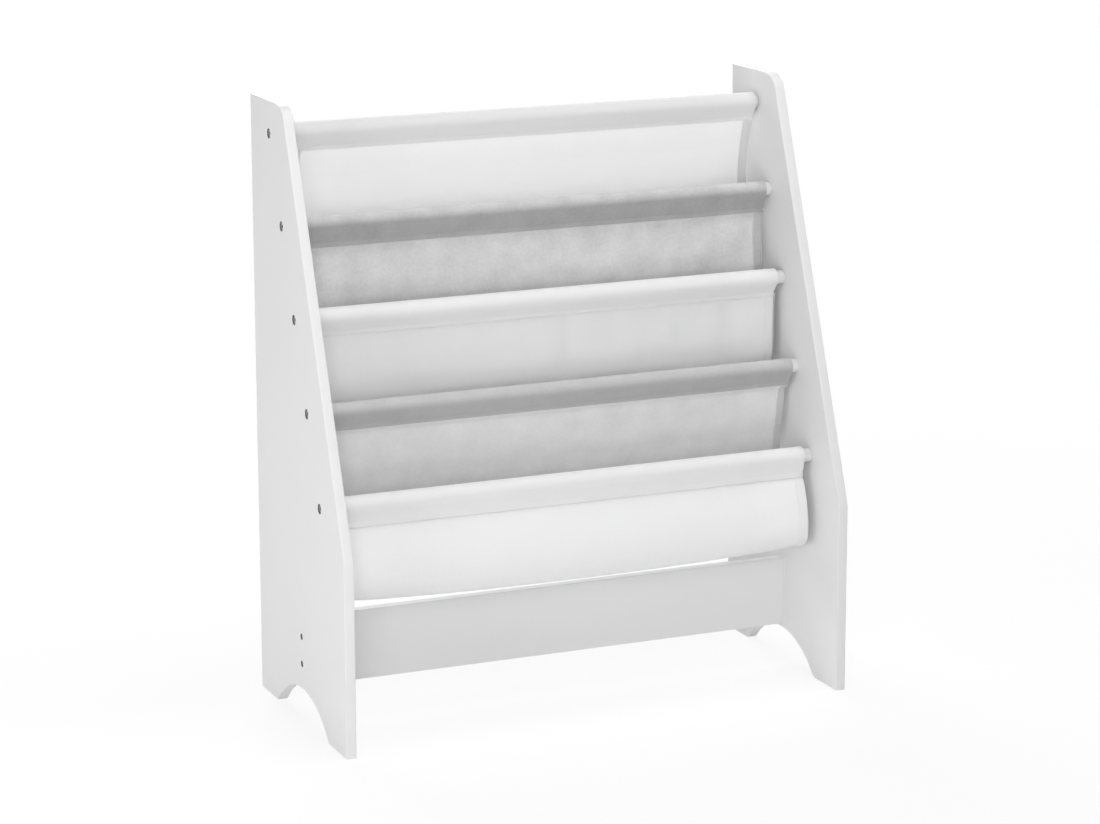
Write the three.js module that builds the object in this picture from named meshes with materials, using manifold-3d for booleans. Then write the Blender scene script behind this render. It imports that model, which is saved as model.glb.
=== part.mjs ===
// A sling bookshelf for a child's room: two painted side panels, five round rails screwed between
// them, a lower board, and five strips of cloth that hang on the rails as four book pockets.
// Millimetres, +Z up, +X to the right, the front towards -Y. The origin lies on the floor, under
// the middle of the shelf.
import * as THREE from "three";
import { mergeVertices } from "three/addons/utils/BufferGeometryUtils.js";
import Module from "manifold-3d";

const wasm = await Module();
wasm.setup();

// Frame
const overallWidth = 618;
const panelHeight = 700;
const panelDepth = 286;
const boardThickness = 12;
const edgeEasing = 0.8;

// Outline of a side panel: a flat top, a sloping front, a knee, and an arch between two soles
const topDepth = 107;
const topCornerRadius = 28;
const kneeHeight = 222;
const kneeRadius = 20;
const backCornerRadius = 2;
const soleLength = 53;
const soleCornerRadius = 9;
const archRise = 39;

// Rails, in a row parallel to the sloping front edge
const railCount = 5;
const railDiameter = 16;
const railChamfer = 0.8;
const topRailDrop = 37.3;
const railPitch = 99.1;
const railSetback = 55;

// Lower board between the panels
const lowerBoardLift = 43.5;
const lowerBoardHeight = 82;

// Screws: those of the rails and those of the lower board
const railScrewHead = 11;
const railScrewShank = 5;
const railScrewLength = 38;
const railScrewKey = 4;
const boardScrewHead = 7;
const boardScrewShank = 3.5;
const boardScrewLength = 40;
const boardScrewKey = 2.5;
const boardScrewSpacing = 32;
const headRim = 0.8;
const headSink = 0.6;
const keyDepth = 1.8;
const screwFit = 0.3;
const boreEndGap = 1;

// Cloth
const clothThickness = 1;
const clothGap = 0.3;
const whiteEndGap = 9.5;
const greyEndGap = 5;
const stitchDrop = 17.5;
const flapDrop = 22;
const seamSet = 2;
const frontSeamSet = -4;
const pocketDrop = 109;
const layerAir = 2;
const frontBulge = 21;
const bottomLap = 10;
const clothSag = 5;
const clothBillow = 3;

// How far each strip's back layer hangs behind its own rail, and how wide each upper pocket's
// bottom is between the middles of its two layers
const backSets = [16, 6.5, 3, 23];
const pocketWidths = [42, 36, 26];

// Heights under the rail, as shares of the rail pitch, and what share of its set-back each strip has
// there, as canvas that was folded in a carton hangs a little differently in every pocket
const hangHeightShares = [0.3, 0.45, 0.6, 0.9];
const hangSetShares = [
  [0.3, 0.65, 0.9, 1],
  [1, 1, 0.93, 0.6],
  [0.65, 0.8, 0.9, 1],
  [0.5, 0.6, 0.7, 0.95],
];

// The front sheet of the lowest pocket: bulge forwards and drop, from its rail down to its hem
const frontSheetShares = [
  [0.31, 0.25],
  [0.74, 0.45],
  [0.93, 0.61],
  [1, 0.77],
  [0.88, 0.89],
  [0.48, 0.97],
  [-0.19, 1],
  [-0.95, 1],
];

// The back sheet of the lowest pocket, under its fourth height: set-back and depth
const backSheetShares = [
  [1.04, 0.6],
  [0.96, 0.75],
  [0.57, 0.885],
  [-0.2, 0.978],
];

const railSides = 24;
const screwSides = 16;
const keySides = 6;
const sleeveSteps = 12;
const clothSteps = 12;
const turnSteps = 6;
const pocketSpanSteps = 1;
const sheetSpanSteps = 2;
const stitchedPoints = 2;
const overrun = 2;
const arcTolerance = 0.05;

const innerFace = overallWidth / 2 - boardThickness;
const outerFace = overallWidth / 2;
const halfDepth = panelDepth / 2;
const slopeRun = panelDepth - topDepth;
const slopeRise = panelHeight - kneeHeight;
const railRadius = railDiameter / 2;
const railRun = (railPitch * slopeRun) / slopeRise;
const sleeveInner = railRadius + clothGap;
const sleeveOuter = sleeveInner + clothThickness;
const lap = clothThickness + clothGap;
const pocketFall = railPitch + pocketDrop;
const lowerBoardMiddle = lowerBoardLift + lowerBoardHeight / 2;

const frontEdge = (height) => -halfDepth + ((height - kneeHeight) * slopeRun) / slopeRise;
const setbackAlong = (railSetback * Math.hypot(slopeRun, slopeRise)) / slopeRise;

const rails = Array.from({ length: railCount }, (_, i) => {
  const z = panelHeight - topRailDrop - i * railPitch;
  return { y: frontEdge(z) + setbackAlong, z };
});

// Turns a shape drawn in (y, z) and extruded along its own z into one that runs along X
const acrossShelf = new THREE.Matrix4().makeBasis(
  new THREE.Vector3(0, 1, 0),
  new THREE.Vector3(0, 0, 1),
  new THREE.Vector3(1, 0, 0),
);

const paint = () => new THREE.MeshStandardMaterial({ color: 0xf2f2f2, roughness: 0.45, metalness: 0 });
const steel = () => new THREE.MeshStandardMaterial({ color: 0x9a9a9c, roughness: 0.35, metalness: 1 });
const canvas = (color) => new THREE.MeshStandardMaterial({ color, roughness: 0.9, metalness: 0 });
const whiteCloth = 0xf4f4f4;
const greyCloth = 0xbdbdbd;

// Welds a closed geometry and hands it over as a solid
function solidOf(geometry) {
  const bare = geometry.index ? geometry.toNonIndexed() : geometry.clone();
  bare.deleteAttribute("normal");
  bare.deleteAttribute("uv");
  const welded = mergeVertices(bare);
  const corners = welded.index.array;
  const faces = [];
  for (let i = 0; i < corners.length; i += 3) {
    const [a, b, c] = corners.slice(i, i + 3);
    if (a !== b && b !== c && c !== a) faces.push(a, b, c);
  }
  return new wasm.Manifold(
    new wasm.Mesh({
      numProp: 3,
      vertProperties: new Float32Array(welded.attributes.position.array),
      triVerts: new Uint32Array(faces),
    }),
  );
}

function geometryOf(solid) {
  const { vertProperties, triVerts } = solid.getMesh();
  const geometry = new THREE.BufferGeometry();
  geometry.setAttribute("position", new THREE.BufferAttribute(vertProperties, 3));
  geometry.setIndex(new THREE.BufferAttribute(triVerts, 1));
  const faceted = geometry.toNonIndexed();
  faceted.computeVertexNormals();
  return faceted;
}

const cut = (solid, tools) => tools.reduce((rest, tool) => rest.subtract(tool), solid);

function part(name, solid, material, place = new THREE.Matrix4()) {
  const mesh = new THREE.Mesh(geometryOf(solid), material);
  mesh.name = name;
  mesh.applyMatrix4(place);
  return mesh;
}

// A body turned about its own Y axis, from [radius, height] pairs that start and end on the axis
function turned(profile, sides) {
  const points = profile.map(([radius, height]) => new THREE.Vector2(radius, height));
  return new THREE.LatheGeometry(points, sides);
}

// Points along an arc, close enough together that no chord lies further off it than the tolerance
function arc(centre, radius, from, sweep) {
  const step = 2 * Math.acos(1 - arcTolerance / radius);
  const count = Math.ceil(Math.abs(sweep) / step);
  return Array.from({ length: count + 1 }, (_, i) => {
    const angle = from + (sweep * i) / count;
    return new THREE.Vector2(Math.cos(angle), Math.sin(angle)).multiplyScalar(radius).add(centre);
  });
}

// The round corner at b of an outline that runs anticlockwise from a by b to c
function roundCorner(a, b, c, radius) {
  const back = new THREE.Vector2().subVectors(a, b).normalize();
  const ahead = new THREE.Vector2().subVectors(c, b).normalize();
  const opening = back.angleTo(ahead);
  const middle = back.clone().add(ahead).normalize();
  const centre = b.clone().addScaledVector(middle, radius / Math.sin(opening / 2));
  const start = b.clone().addScaledVector(back, radius / Math.tan(opening / 2));
  return arc(centre, radius, start.sub(centre).angle(), Math.PI - opening);
}

// Outline of a side panel in (y, z). The arch is one circle that leaves each sole through a small
// round corner, so its radius follows from the rise, the corner and the length of the soles.
function panelOutline() {
  const soleEnd = halfDepth - soleLength;
  const shoulder = archRise - soleCornerRadius;
  const archRadius = (soleEnd ** 2 + shoulder ** 2 - soleCornerRadius ** 2) / (2 * archRise);
  const archCentre = new THREE.Vector2(0, archRise - archRadius);
  const lean = Math.atan2(soleEnd, soleCornerRadius - archCentre.y);
  const down = -Math.PI / 2;

  const backFoot = new THREE.Vector2(halfDepth, 0);
  const backTop = new THREE.Vector2(halfDepth, panelHeight);
  const frontTop = new THREE.Vector2(halfDepth - topDepth, panelHeight);
  const knee = new THREE.Vector2(-halfDepth, kneeHeight);
  const frontFoot = new THREE.Vector2(-halfDepth, 0);
  const soleCorner = new THREE.Vector2(soleEnd, soleCornerRadius);
  const frontSoleCorner = new THREE.Vector2(-soleEnd, soleCornerRadius);

  return new THREE.Shape([
    backFoot,
    ...roundCorner(backFoot, backTop, frontTop, backCornerRadius),
    ...roundCorner(backTop, frontTop, knee, topCornerRadius),
    ...roundCorner(frontTop, knee, frontFoot, kneeRadius),
    frontFoot,
    ...arc(frontSoleCorner, soleCornerRadius, down, lean),
    ...arc(archCentre, archRadius, lean - down, -2 * lean).slice(1, -1),
    ...arc(soleCorner, soleCornerRadius, down - lean, lean),
  ]);
}

// A countersunk screw with its head's top at the origin and its shank down its own -Y, or, with a
// fit and an overrun, the hole that takes it
function screwBody({ head, shank, length }, fit, above, below) {
  const headRadius = head / 2 + fit;
  const shankRadius = shank / 2 + fit;
  const rimFoot = -headRim;
  const coneFoot = rimFoot - (head - shank) / 2;
  const profile = [
    [0, -length - below],
    [shankRadius, -length - below],
    [shankRadius, coneFoot],
    [headRadius, rimFoot],
    [headRadius, above],
    [0, above],
  ];
  return turned(profile, screwSides);
}

const railScrew = { head: railScrewHead, shank: railScrewShank, length: railScrewLength, key: railScrewKey };
const boardScrew = {
  head: boardScrewHead,
  shank: boardScrewShank,
  length: boardScrewLength,
  key: boardScrewKey,
};

function screwSolid(screw) {
  const acrossCorners = screw.key / Math.cos(Math.PI / keySides);
  const socket = new THREE.CylinderGeometry(
    acrossCorners / 2,
    acrossCorners / 2,
    keyDepth + overrun,
    keySides,
  ).translate(0, (overrun - keyDepth) / 2, 0);
  return cut(solidOf(screwBody(screw, 0, 0, 0)), [solidOf(socket)]);
}

// Where each screw sits: its head is sunk a little below a panel's outer face, side is -1 or 1
const railSeats = (side) =>
  rails.map(({ y, z }, i) => ({ screw: railScrew, side, y, z, name: "rail_screw_" + (i + 1) }));
const boardSeats = (side) =>
  [1, -1].map((row, i) => ({
    screw: boardScrew,
    side,
    y: 0,
    z: lowerBoardMiddle + (row * boardScrewSpacing) / 2,
    name: "board_screw_" + (i + 1),
  }));

function seatPlace({ side, y, z }) {
  const place = new THREE.Matrix4().makeRotationZ((-side * Math.PI) / 2);
  return place.setPosition(side * (outerFace - headSink), y, z);
}

const holeFor = (seat) =>
  solidOf(screwBody(seat.screw, screwFit, headSink + overrun, boreEndGap).applyMatrix4(seatPlace(seat)));

function sidePanel(side) {
  const blank = new THREE.ExtrudeGeometry(panelOutline(), {
    depth: boardThickness - 2 * edgeEasing,
    bevelSegments: 1,
    bevelThickness: edgeEasing,
    bevelSize: edgeEasing,
    bevelOffset: -edgeEasing,
  });
  blank.translate(0, 0, edgeEasing);
  blank.applyMatrix4(acrossShelf);
  blank.translate(side > 0 ? innerFace : -outerFace, 0, 0);
  return cut(solidOf(blank), [...railSeats(side), ...boardSeats(side)].map(holeFor));
}

// A rail reaches from panel to panel, with its ends eased and bored for their screws
function rail({ y, z }) {
  const profile = [
    [0, -innerFace],
    [railRadius - railChamfer, -innerFace],
    [railRadius, railChamfer - innerFace],
    [railRadius, innerFace - railChamfer],
    [railRadius - railChamfer, innerFace],
    [0, innerFace],
  ];
  const body = turned(profile, railSides).rotateZ(Math.PI / 2).translate(0, y, z);
  const seats = [-1, 1].map((side) => ({ screw: railScrew, side, y, z }));
  return cut(solidOf(body), seats.map(holeFor));
}

function lowerBoard() {
  const body = new THREE.BoxGeometry(2 * innerFace, boardThickness, lowerBoardHeight);
  body.translate(0, 0, lowerBoardMiddle);
  return cut(solidOf(body), [...boardSeats(-1), ...boardSeats(1)].map(holeFor));
}

const at = (y, z) => new THREE.Vector3(y, z, 0);

// Middle line of a strip's back layer, from its stitches down to just above the next rail
function backLine(strip) {
  const setBack = backSets[strip];
  const hang = hangHeightShares.map((share, i) =>
    at(setBack * hangSetShares[strip][i], -share * railPitch),
  );
  return [at(seamSet, -stitchDrop), at(seamSet, -flapDrop), ...hang];
}

// Stations along a smooth curve through a middle line, each with the points beside it: a positive
// offset lies behind a layer that hangs, and below one that lies
function stationsOf(line, spanSteps) {
  const curve = new THREE.CatmullRomCurve3(line, false, "centripetal");
  const steps = (line.length - 1) * spanSteps;
  return Array.from({ length: steps + 1 }, (_, i) => {
    const { x, y } = curve.getPoint(i / steps);
    const along = curve.getTangent(i / steps);
    const outward = new THREE.Vector2(-along.y, along.x).normalize();
    return { offset: (distance) => new THREE.Vector2(x, y).addScaledVector(outward, distance) };
  });
}

// Middle line of a strip that makes a whole pocket: down behind its own rail, round the bottom, and
// up behind the next strip's back layer to the stitches under the next rail
function pocketLine(strip) {
  const down = backLine(strip);
  const up = stationsOf(backLine(strip + 1), 1).map(({ offset }, i) => {
    const { x, y } = offset(i < stitchedPoints ? lap : lap + layerAir);
    return at(x - railRun, y - railPitch);
  });
  up[0].y -= clothGap;
  const radius = pocketWidths[strip] / 2;
  const front = up[up.length - 1].x;
  const back = front + pocketWidths[strip];
  const turn = Array.from({ length: turnSteps + 1 }, (_, i) => {
    const angle = (-Math.PI * i) / turnSteps;
    return at((back + front) / 2 + radius * Math.cos(angle), radius * (1 + Math.sin(angle)) - pocketFall);
  });
  const halfway = at(back, (down[down.length - 1].y + turn[0].y) / 2);
  const rising = up.reverse().filter((point) => point.y > turn[turnSteps].y + radius / 2);
  return [...down, halfway, ...turn, ...rising];
}

// Middle lines of the two sheets of the lowest pocket, which meet in a lap under it
function backSheetLine(strip) {
  const setBack = backSets[strip];
  const under = backSheetShares.map(([set, depth]) => at(setBack * set, -depth * pocketFall));
  const hem = frontSheetLine().at(-1);
  const lapEnd = at(hem.x - railRun - bottomLap, hem.y - railPitch + lap);
  const lapStart = at(hem.x - railRun, hem.y - railPitch + lap);
  return [...backLine(strip), ...under, lapStart, lapEnd];
}

function frontSheetLine() {
  const sheet = frontSheetShares.map(([bulge, depth]) => at(-frontBulge * bulge, -depth * pocketDrop));
  return [at(frontSeamSet, -stitchDrop), at(frontSeamSet, -flapDrop), ...sheet];
}

// Section of a strip in (y, z) from its rail's axis: a sleeve that comes over the rail from behind
// and is stitched, as a flap, to the front of the layer that hangs below it
function stripSection(line, spanSteps) {
  const stations = stationsOf(line, spanSteps);
  const [stitch] = stations;
  const flapEnd = stations[spanSteps];
  const layerFace = -clothThickness / 2;
  const flapFace = layerFace - clothThickness;
  const flapTop = stitch.offset(flapFace);
  const seam = stitch.offset(layerFace);
  const outerArc = overRail(flapTop, stitch.offset(-layerFace), sleeveOuter);
  const innerArc = overRail(seam, seam, sleeveInner);
  const backs = stations.map(({ offset }) => offset(-layerFace));
  const fronts = stations.slice(spanSteps).map(({ offset }) => offset(layerFace));

  const flap = [flapEnd.offset(flapFace), flapTop];
  const shape = new THREE.Shape([...flap, ...outerArc, ...backs, ...fronts.reverse()]);
  shape.holes.push(new THREE.Path([seam, ...innerArc].reverse()));
  return shape;
}

// Points on a circle round the rail, between its tangents from a point in front and one behind
function overRail(front, back, radius) {
  const start = front.angle() - Math.acos(radius / front.length());
  const end = back.angle() + Math.acos(radius / back.length()) - 2 * Math.PI;
  return Array.from({ length: sleeveSteps + 1 }, (_, i) => {
    const angle = start + ((end - start) * i) / sleeveSteps;
    return new THREE.Vector2(radius * Math.cos(angle), radius * Math.sin(angle));
  });
}

// The hems hold the ends of the cloth, and its middle gives way: backwards between two rails, and
// downwards below the last one. All strips share one field, so that the layers stay apart.
function drape(point, width) {
  const across = 1 - ((2 * point.x) / width) ** 2;
  for (const { z } of rails) {
    const start = z - flapDrop;
    const last = z === rails[railCount - 1].z;
    const reach = last ? pocketDrop - flapDrop : railPitch - flapDrop - railDiameter;
    const share = Math.max(0, (start - point.z) / reach);
    if (last) point.z -= clothSag * across * share ** 2;
    else if (share < 1) point.y += clothBillow * across * Math.sin(Math.PI * share) ** 2;
  }
  return point;
}

function strip(line, spanSteps, railIndex, width) {
  const { y, z } = rails[railIndex];
  const geometry = new THREE.ExtrudeGeometry(stripSection(line, spanSteps), {
    depth: width,
    steps: clothSteps,
    bevelEnabled: false,
  });
  geometry.translate(0, 0, -width / 2);
  geometry.applyMatrix4(acrossShelf);
  geometry.translate(0, y, z);
  const positions = geometry.attributes.position;
  const point = new THREE.Vector3();
  for (let i = 0; i < positions.count; i++) {
    drape(point.fromBufferAttribute(positions, i), width);
    positions.setXYZ(i, point.x, point.y, point.z);
  }
  return solidOf(geometry);
}

const shelf = new THREE.Group();

const sides = [
  { word: "left", side: -1 },
  { word: "right", side: 1 },
];
sides.forEach(({ word, side }) => {
  shelf.add(part(word + "_side_panel", sidePanel(side), paint()));
  [...railSeats(side), ...boardSeats(side)].forEach((seat) => {
    shelf.add(part(word + "_" + seat.name, screwSolid(seat.screw), steel(), seatPlace(seat)));
  });
});

rails.forEach((place, i) => shelf.add(part("rail_" + (i + 1), rail(place), paint())));
shelf.add(part("lower_board", lowerBoard(), paint()));

// Every strip but the last two makes a whole pocket: those two are sewn together into the lowest one
const lastPocket = railCount - 2;
function clothOn(railIndex, width) {
  if (railIndex < lastPocket) return strip(pocketLine(railIndex), pocketSpanSteps, railIndex, width);
  const line = railIndex === lastPocket ? backSheetLine(railIndex) : frontSheetLine();
  return strip(line, sheetSpanSteps, railIndex, width);
}

rails.forEach((_, i) => {
  const white = i % 2 === 0;
  const width = 2 * (innerFace - (white ? whiteEndGap : greyEndGap));
  const name = "sling_" + (i + 1) + (white ? "_white" : "_grey");
  shelf.add(part(name, clothOn(i, width), canvas(white ? whiteCloth : greyCloth)));
});

export default shelf;
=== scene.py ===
# %% [markdown]
# # A sling bookshelf for a child's room
# The real shelf is a small flat-pack frame: two painted side panels, five round rails, a lower board
# and fourteen screws. Five strips of canvas, white and grey in turn, are sewn round the rails and hang
# as four tiers of book pockets. The frame of the model is already made, so this lesson
# dresses it: it gives the wood its paint, the screws their plating and the canvas its folds and seams.
#
# The first cell loads that frame. Everything is in metres, with the floor at zero, X to the right and
# the front of the shelf towards -Y. No loaded piece is ever moved. New pieces are built round it.

# %% Load the packed model
import bisect
import math

import bmesh
import bpy
from mathutils import Matrix, Vector


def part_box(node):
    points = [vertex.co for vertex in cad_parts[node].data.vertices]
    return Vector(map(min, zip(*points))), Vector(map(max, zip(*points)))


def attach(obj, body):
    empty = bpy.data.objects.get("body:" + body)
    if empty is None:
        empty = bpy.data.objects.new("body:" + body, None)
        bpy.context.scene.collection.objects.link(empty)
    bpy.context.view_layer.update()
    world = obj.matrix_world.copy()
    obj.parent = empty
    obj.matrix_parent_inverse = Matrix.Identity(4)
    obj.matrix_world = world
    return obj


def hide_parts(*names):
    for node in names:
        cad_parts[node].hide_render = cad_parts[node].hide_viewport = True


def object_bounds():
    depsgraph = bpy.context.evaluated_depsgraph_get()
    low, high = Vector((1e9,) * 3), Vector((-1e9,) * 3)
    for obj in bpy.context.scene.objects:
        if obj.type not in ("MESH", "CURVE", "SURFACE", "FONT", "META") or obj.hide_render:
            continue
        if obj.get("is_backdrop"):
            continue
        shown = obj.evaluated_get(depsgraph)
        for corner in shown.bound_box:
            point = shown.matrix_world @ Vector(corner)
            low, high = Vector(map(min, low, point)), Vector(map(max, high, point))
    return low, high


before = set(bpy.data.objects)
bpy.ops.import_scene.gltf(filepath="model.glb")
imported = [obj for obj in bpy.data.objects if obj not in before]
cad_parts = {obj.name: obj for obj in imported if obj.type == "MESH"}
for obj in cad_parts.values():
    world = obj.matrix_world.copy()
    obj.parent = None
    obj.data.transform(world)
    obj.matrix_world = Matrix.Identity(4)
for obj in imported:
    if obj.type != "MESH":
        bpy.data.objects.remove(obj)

cad_low, cad_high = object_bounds()
print("the shelf is", [round(side, 3) for side in cad_high - cad_low], "metres wide, deep and high")

# %% [markdown]
# ## The camera
# The photograph was taken a little from the right and from above, with a long lens, so the uprights
# stay nearly parallel. A camera could be placed by eye, but here its place was worked out from the
# corners and screws of the shelf, and is kept as angles and a distance, which say more than a matrix.
# The lens looked straight ahead a little above the picture's middle, and a small shift repeats that.

# %% Place the camera
photo_width = 1100
photo_height = 824
axis_row = 352
focal_length_in_pixels = 3495.5
turn = math.radians(-23.367)
rise = math.radians(12.522)
roll = math.radians(-0.110)
distance = 3.9971
aim = Vector((-0.003, 0, 0.4021))

scene = bpy.context.scene
camera = bpy.data.objects.new("camera", bpy.data.cameras.new("camera"))
scene.collection.objects.link(camera)
scene.camera = camera
camera.data.lens = focal_length_in_pixels / photo_width * camera.data.sensor_width
camera.data.shift_y = (axis_row - photo_height / 2) / photo_width
away = Vector((math.sin(turn) * math.cos(rise), -math.cos(turn) * math.cos(rise), math.sin(rise)))
facing = away.to_track_quat("Z", "Y").to_matrix() @ Matrix.Rotation(roll, 3, "Z")
camera.matrix_world = Matrix.Translation(aim + distance * away) @ facing.to_4x4()
print("lens", round(camera.data.lens, 1), "mm, shift", round(camera.data.shift_y, 4))

# %% [markdown]
# ## A way to write shaders
# A shader is a graph of nodes, and a graph written as a list of boxes and wires is hard to read. The
# class below wraps one output of a node, so that `0.5 * ripple + 1` reads as arithmetic and quietly
# adds the Math nodes. One method makes every other kind of node.

# %% A value that runs between shader nodes
class Signal:
    """One output of a shader node, which can be added, subtracted and multiplied."""

    def __init__(self, tree, socket=None):
        self.tree = tree
        self.socket = socket

    def node(self, kind, settings, sockets, output=0):
        """Makes a node, then sets it, then fills or links its sockets, and gives one of its outputs."""
        made = self.tree.nodes.new(kind)
        for name, value in settings.items():
            setattr(made, name, value)
        for name, value in sockets.items():
            if isinstance(value, Signal):
                self.tree.links.new(value.socket, made.inputs[name])
            else:
                made.inputs[name].default_value = value
        return Signal(self.tree, made.outputs[output] if made.outputs else None)

    def maths(self, operation, first, second=0.0):
        return self.node("ShaderNodeMath", {"operation": operation}, {0: first, 1: second})

    def __add__(self, other):
        return self.maths("ADD", self, other)

    def __radd__(self, other):
        return self.maths("ADD", other, self)

    def __sub__(self, other):
        return self.maths("SUBTRACT", self, other)

    def __rsub__(self, other):
        return self.maths("SUBTRACT", other, self)

    def __mul__(self, other):
        return self.maths("MULTIPLY", self, other)

    def __rmul__(self, other):
        return self.maths("MULTIPLY", other, self)


def tint(factor, first, second):
    """A colour that runs from the first to the second as the factor goes from 0 to 1."""
    return factor.node("ShaderNodeMix", {"data_type": "RGBA"}, {0: factor, 6: first, 7: second}, 2)


def grey(value):
    return (value, value, value, 1)


def material(name, surface):
    """A material whose surface comes from a function that is given the tree's first signal."""
    made = bpy.data.materials.new(name)
    made.use_nodes = True
    made.node_tree.nodes.clear()
    start = Signal(made.node_tree)
    start.node("ShaderNodeOutputMaterial", {}, {"Surface": surface(start)})
    print("material", name, "with", len(made.node_tree.nodes), "nodes")
    return made


print("Signal has", sum(callable(part) for part in vars(Signal).values()), "methods")

# %% [markdown]
# ## Light, floor and background
# Goods for a catalogue are lit by large soft boxes in a white room, so no side is dark. The sky and the
# floor look pure white to the camera and in reflections through the Light Path node, and not by more
# light, so the white paint keeps its own tone against them. The floor still takes a soft shadow, and
# only near the shelf, so the distance from the shelf fades the shadow's share out.

# %% Sky and floor
sky_light = 0.17
floor_size = 14
floor_white = 0.93
shadow_share = 0.16
shadow_near = 0.7
shadow_far = 1.6


def seen_directly(start):
    """1 for rays from the camera and in reflections or through glass, and 0 for rays that light."""
    rays = [start.node("ShaderNodeLightPath", {}, {}, kind) for kind in
            ("Is Camera Ray", "Is Glossy Ray", "Is Transmission Ray")]
    return start.maths("MINIMUM", rays[0] + rays[1] + rays[2], 1.0)


scene.world = bpy.data.worlds.new("white_room")
scene.world.use_nodes = True
scene.world.node_tree.nodes.clear()
sky = Signal(scene.world.node_tree)
sky_strength = sky_light + (1 - sky_light) * seen_directly(sky)
backdrop = sky.node("ShaderNodeBackground", {}, {"Color": grey(1), "Strength": sky_strength})
sky.node("ShaderNodeOutputWorld", {}, {"Surface": backdrop})


def floor_surface(start):
    matt = start.node("ShaderNodeBsdfDiffuse", {}, {"Color": grey(floor_white)})
    white = start.node("ShaderNodeEmission", {}, {"Color": grey(1), "Strength": 1.0})
    spot = start.node("ShaderNodeTexCoord", {}, {}, "Object")
    away = start.node("ShaderNodeVectorMath", {"operation": "LENGTH"}, {0: spot}, "Value")
    near = start.node("ShaderNodeMapRange", {"interpolation_type": "SMOOTHSTEP"}, {
        "Value": away, "From Min": shadow_near, "From Max": shadow_far, "To Min": 1, "To Max": 0})
    share = (1 - shadow_share * near) * seen_directly(start)
    return start.node("ShaderNodeMixShader", {}, {0: share, 1: matt, 2: white})


def new_object(name, bm, finish):
    """Turns a finished bmesh into an object at the origin with one material."""
    mesh = bpy.data.meshes.new(name)
    bm.to_mesh(mesh)
    bm.free()
    mesh.materials.append(finish)
    made = bpy.data.objects.new(name, mesh)
    scene.collection.objects.link(made)
    return made


bm = bmesh.new()
bmesh.ops.create_grid(bm, x_segments=1, y_segments=1, size=floor_size / 2)
floor = new_object("floor", bm, material("white_floor", floor_surface))
floor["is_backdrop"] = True

# %% [markdown]
# Six sources share the work. The sky is the room's own even light. A box above makes the tops of the
# sleeves bright, one beside the camera fills the fronts, one at the left lights the side panel with a
# faint one behind it for its rear edge, and one behind shines through the single layers of canvas.

# %% Lamps
# Where each soft box hangs and how wide it is, in metres, and its power in watts.
soft_boxes = {
    "overhead_soft_box": ((0.5, -0.6, 2.6), 1.6, 33.5),
    "camera_soft_box": ((-0.9, -2.1, 0.9), 1.4, 22),
    "left_soft_box": ((-2.2, -0.6, 0.35), 1.4, 17.5),
    "left_rear_soft_box": ((-2.0, 0.9, 0.5), 1.4, 1.8),
    "rear_soft_box": ((0, 2, 1.8), 1.4, 39),
}
shelf_middle = (cad_low + cad_high) / 2


def soft_box(name, place, size, power):
    """A round lamp that faces the middle of the shelf."""
    lamp = bpy.data.lights.new(name, "AREA")
    lamp.shape = "DISK"
    lamp.size = size
    lamp.energy = power
    made = bpy.data.objects.new(name, lamp)
    scene.collection.objects.link(made)
    made.location = place
    made.rotation_euler = (Vector(place) - shelf_middle).to_track_quat("Z", "Y").to_euler()


for name, (place, size, power) in soft_boxes.items():
    soft_box(name, place, size, power)
scene.view_settings.view_transform = "Standard"
print("sky", sky_light, "and", len(soft_boxes), "lamps")

# %% [markdown]
# ## Painted wood
# The panels, the rails and the board are sprayed with white satin lacquer. A single flat white would
# look like plastic, so the tone drifts by a hair over a hand's width, the gloss varies a little, and a
# very fine swell in the normal gives the skin that sprayed paint has. The board is a little darker
# than the panels in the photograph, because it stands in the shade of the slings, so light does that.
# The bores are drilled after painting and stay bare, and their walls are painted darker than bare board
# would be, as painted shade in the recess; an attribute says where.

# %% Paint for the panels, rails and board
paint_light = 0.75
paint_dark = 0.73
paint_roughness = 0.38
paint_roughness_drift = 0.1
# Bare board in the bores, darkened further as painted shade inside them.
bare_board_and_shade = 0.12


def paint_surface(start):
    spot = start.node("ShaderNodeTexCoord", {}, {}, "Object")
    drift = start.node("ShaderNodeTexNoise", {}, {"Vector": spot, "Scale": 9, "Detail": 2})
    skin = start.node("ShaderNodeTexNoise", {}, {"Vector": spot, "Scale": 900, "Detail": 2})
    swell = start.node("ShaderNodeBump", {}, {"Height": skin, "Strength": 0.06, "Distance": 0.0002})
    # The walls of the bores: bare board with painted shade.
    bare_and_shaded = start.node("ShaderNodeAttribute", {"attribute_name": "bare_and_shaded"}, {}, "Fac")
    lacquer = tint(drift, grey(paint_light), grey(paint_dark))
    return start.node("ShaderNodeBsdfPrincipled", {}, {
        "Base Color": tint(bare_and_shaded, lacquer, grey(bare_board_and_shade)),
        "Roughness": paint_roughness + paint_roughness_drift * drift,
        "Specular IOR Level": 0.35,
        "Normal": swell,
    })


white_paint = material("white_lacquer", paint_surface)

# %% [markdown]
# ## Zinc plated steel
# The screws are plated with dull zinc. Metal shows what it mirrors, so the white room makes the heads
# light, and the shade in the socket and the painted shade on the walls of the bore make the dark dots of the
# photograph.

# %% Plating for the screws
zinc_light = 0.58
zinc_dark = 0.40
zinc_roughness = 0.28
zinc_roughness_drift = 0.2


def steel_surface(start):
    spot = start.node("ShaderNodeTexCoord", {}, {}, "Object")
    bloom = start.node("ShaderNodeTexNoise", {}, {"Vector": spot, "Scale": 900, "Detail": 3})
    return start.node("ShaderNodeBsdfPrincipled", {}, {
        "Base Color": tint(bloom, grey(zinc_light), grey(zinc_dark)),
        "Metallic": 1.0,
        "Roughness": zinc_roughness + zinc_roughness_drift * bloom,
    })


zinc = material("dull_zinc", steel_surface)
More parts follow.
